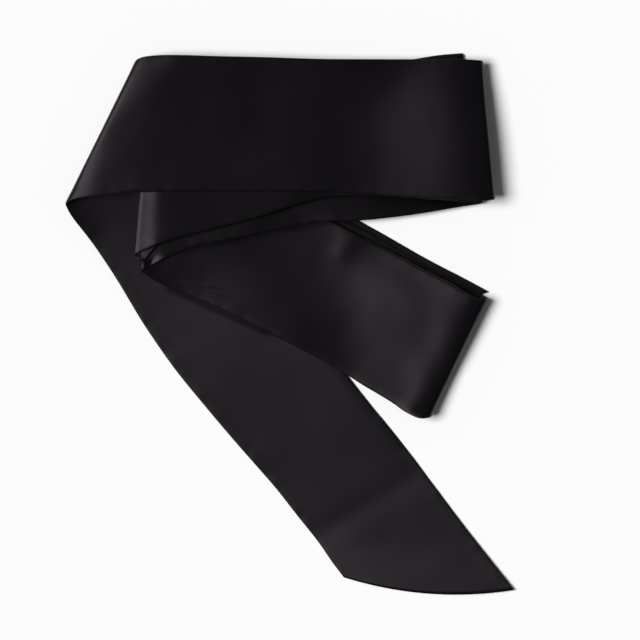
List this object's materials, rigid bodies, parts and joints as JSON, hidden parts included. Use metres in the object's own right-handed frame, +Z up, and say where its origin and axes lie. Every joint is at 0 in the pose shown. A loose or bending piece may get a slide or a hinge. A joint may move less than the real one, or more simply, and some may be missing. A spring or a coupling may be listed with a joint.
{
  "type": "folded silk scarf",
  "caption": "Long narrow black satin scarf with slanted ends, folded to and fro and lying flat, with one end trailing out from under the folds.",
  "frame": {"origin": "middle of the folded scarf's outline, on the surface that it lies on", "axes": "+Z up out of the surface, +Y from the tip of the trailing end to the top band, +X to the right along the top band"},
  "size_m": [0.2329, 0.2814, 0.0149],
  "materials": {
    "satin": "black silk satin, smooth and softly glossy"
  },
  "bodies": {
    "root": {"tail": "satin", "lower_core": "satin", "lower_band": "satin", "middle_run": "satin", "upper_core": "satin", "upper_run": "satin", "top_band": "satin"}
  },
  "joints": []
}
